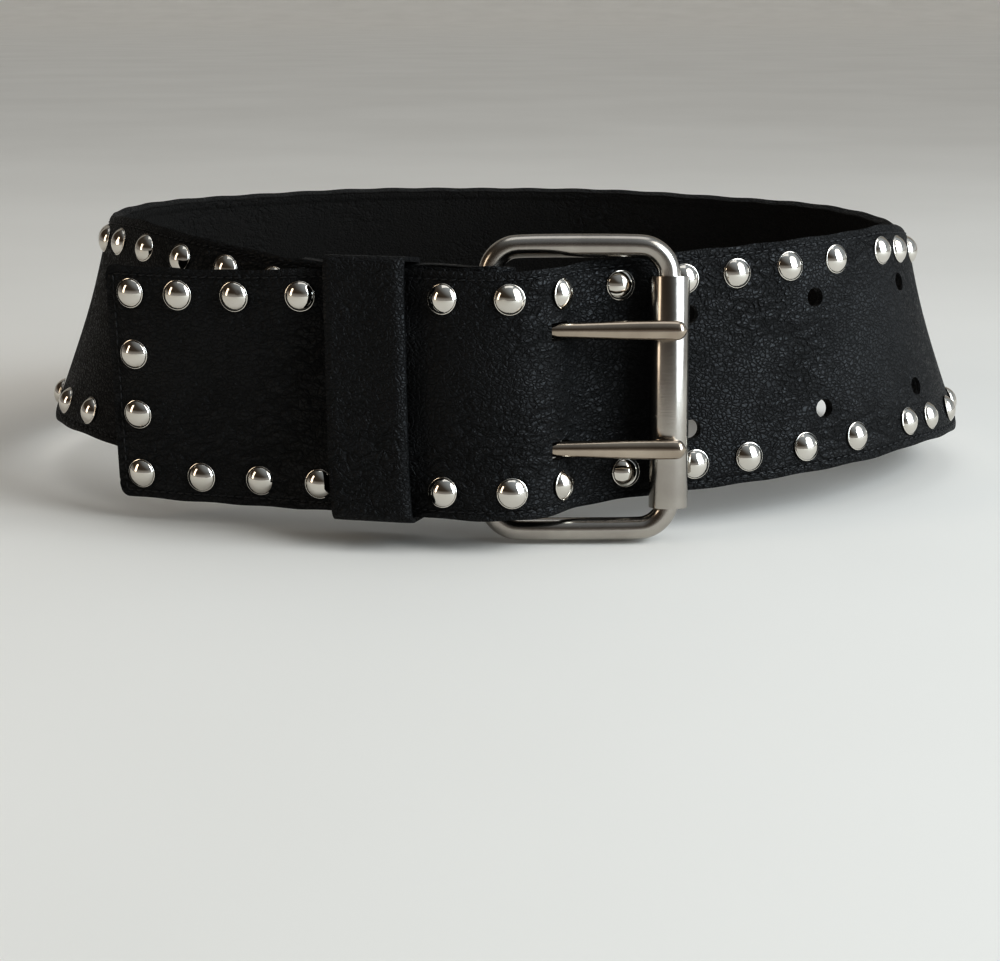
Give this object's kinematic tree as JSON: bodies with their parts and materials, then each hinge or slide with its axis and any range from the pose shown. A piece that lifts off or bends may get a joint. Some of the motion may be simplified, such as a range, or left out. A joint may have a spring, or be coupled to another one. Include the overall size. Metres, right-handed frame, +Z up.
{
  "type": "studded belt",
  "caption": "Wide black leather belt with domed metal studs along both edges, closed round the hips by a double-prong roller buckle, its free end through a leather keeper.",
  "frame": {"origin": "centre of the closed loop, half way up the strap, on the axis of the hips that hold it", "axes": "+Z up to the waist, -Y to the front where the buckle is, +X to the wearer's left"},
  "size_m": [0.3367, 0.2491, 0.0951],
  "materials": {
    "black_leather": "black pebbled leather with painted edges",
    "stud_metal": "polished nickel domes",
    "brushed_steel": "satin brushed steel wire and sheet",
    "polished_steel": "polished steel wire"
  },
  "bodies": {
    "belt": {"belt_strap": "black_leather", "keeper_loop": "black_leather", "buckle_frame": "brushed_steel", "prong_upper": "polished_steel", "prong_lower": "polished_steel", "stud_top_01": "stud_metal", "stud_top_02": "stud_metal", "stud_top_03": "stud_metal", "stud_top_04": "stud_metal", "stud_top_05": "stud_metal", "stud_top_06": "stud_metal", "stud_top_07": "stud_metal", "stud_top_08": "stud_metal", "stud_top_09": "stud_metal", "stud_top_10": "stud_metal", "stud_top_11": "stud_metal", "stud_top_12": "stud_metal", "stud_top_13": "stud_metal", "stud_top_14": "stud_metal", "stud_top_15": "stud_metal", "stud_top_40": "stud_metal", "stud_top_41": "stud_metal", "stud_top_42": "stud_metal", "stud_bottom_01": "stud_metal", "stud_bottom_02": "stud_metal", "stud_bottom_03": "stud_metal", "stud_bottom_04": "stud_metal", "stud_bottom_05": "stud_metal", "stud_bottom_06": "stud_metal", "stud_bottom_07": "stud_metal", "stud_bottom_08": "stud_metal", "stud_bottom_09": "stud_metal", "stud_bottom_10": "stud_metal", "stud_bottom_11": "stud_metal", "stud_bottom_12": "stud_metal", "stud_bottom_13": "stud_metal", "stud_bottom_14": "stud_metal", "stud_bottom_15": "stud_metal", "stud_bottom_40": "stud_metal", "stud_bottom_41": "stud_metal", "stud_bottom_42": "stud_metal", "stud_tip_1": "stud_metal", "stud_tip_2": "stud_metal"},
    "roller": {"buckle_roller": "brushed_steel"}
  },
  "joints": [
    {"name": "roller_spin", "type": "hinge", "parent": "belt", "child": "roller", "pos_m": [0.05015, -0.11141, -0.00403], "axis": [-0.0024, 0.1409, 0.99], "continuous": true}
  ]
}
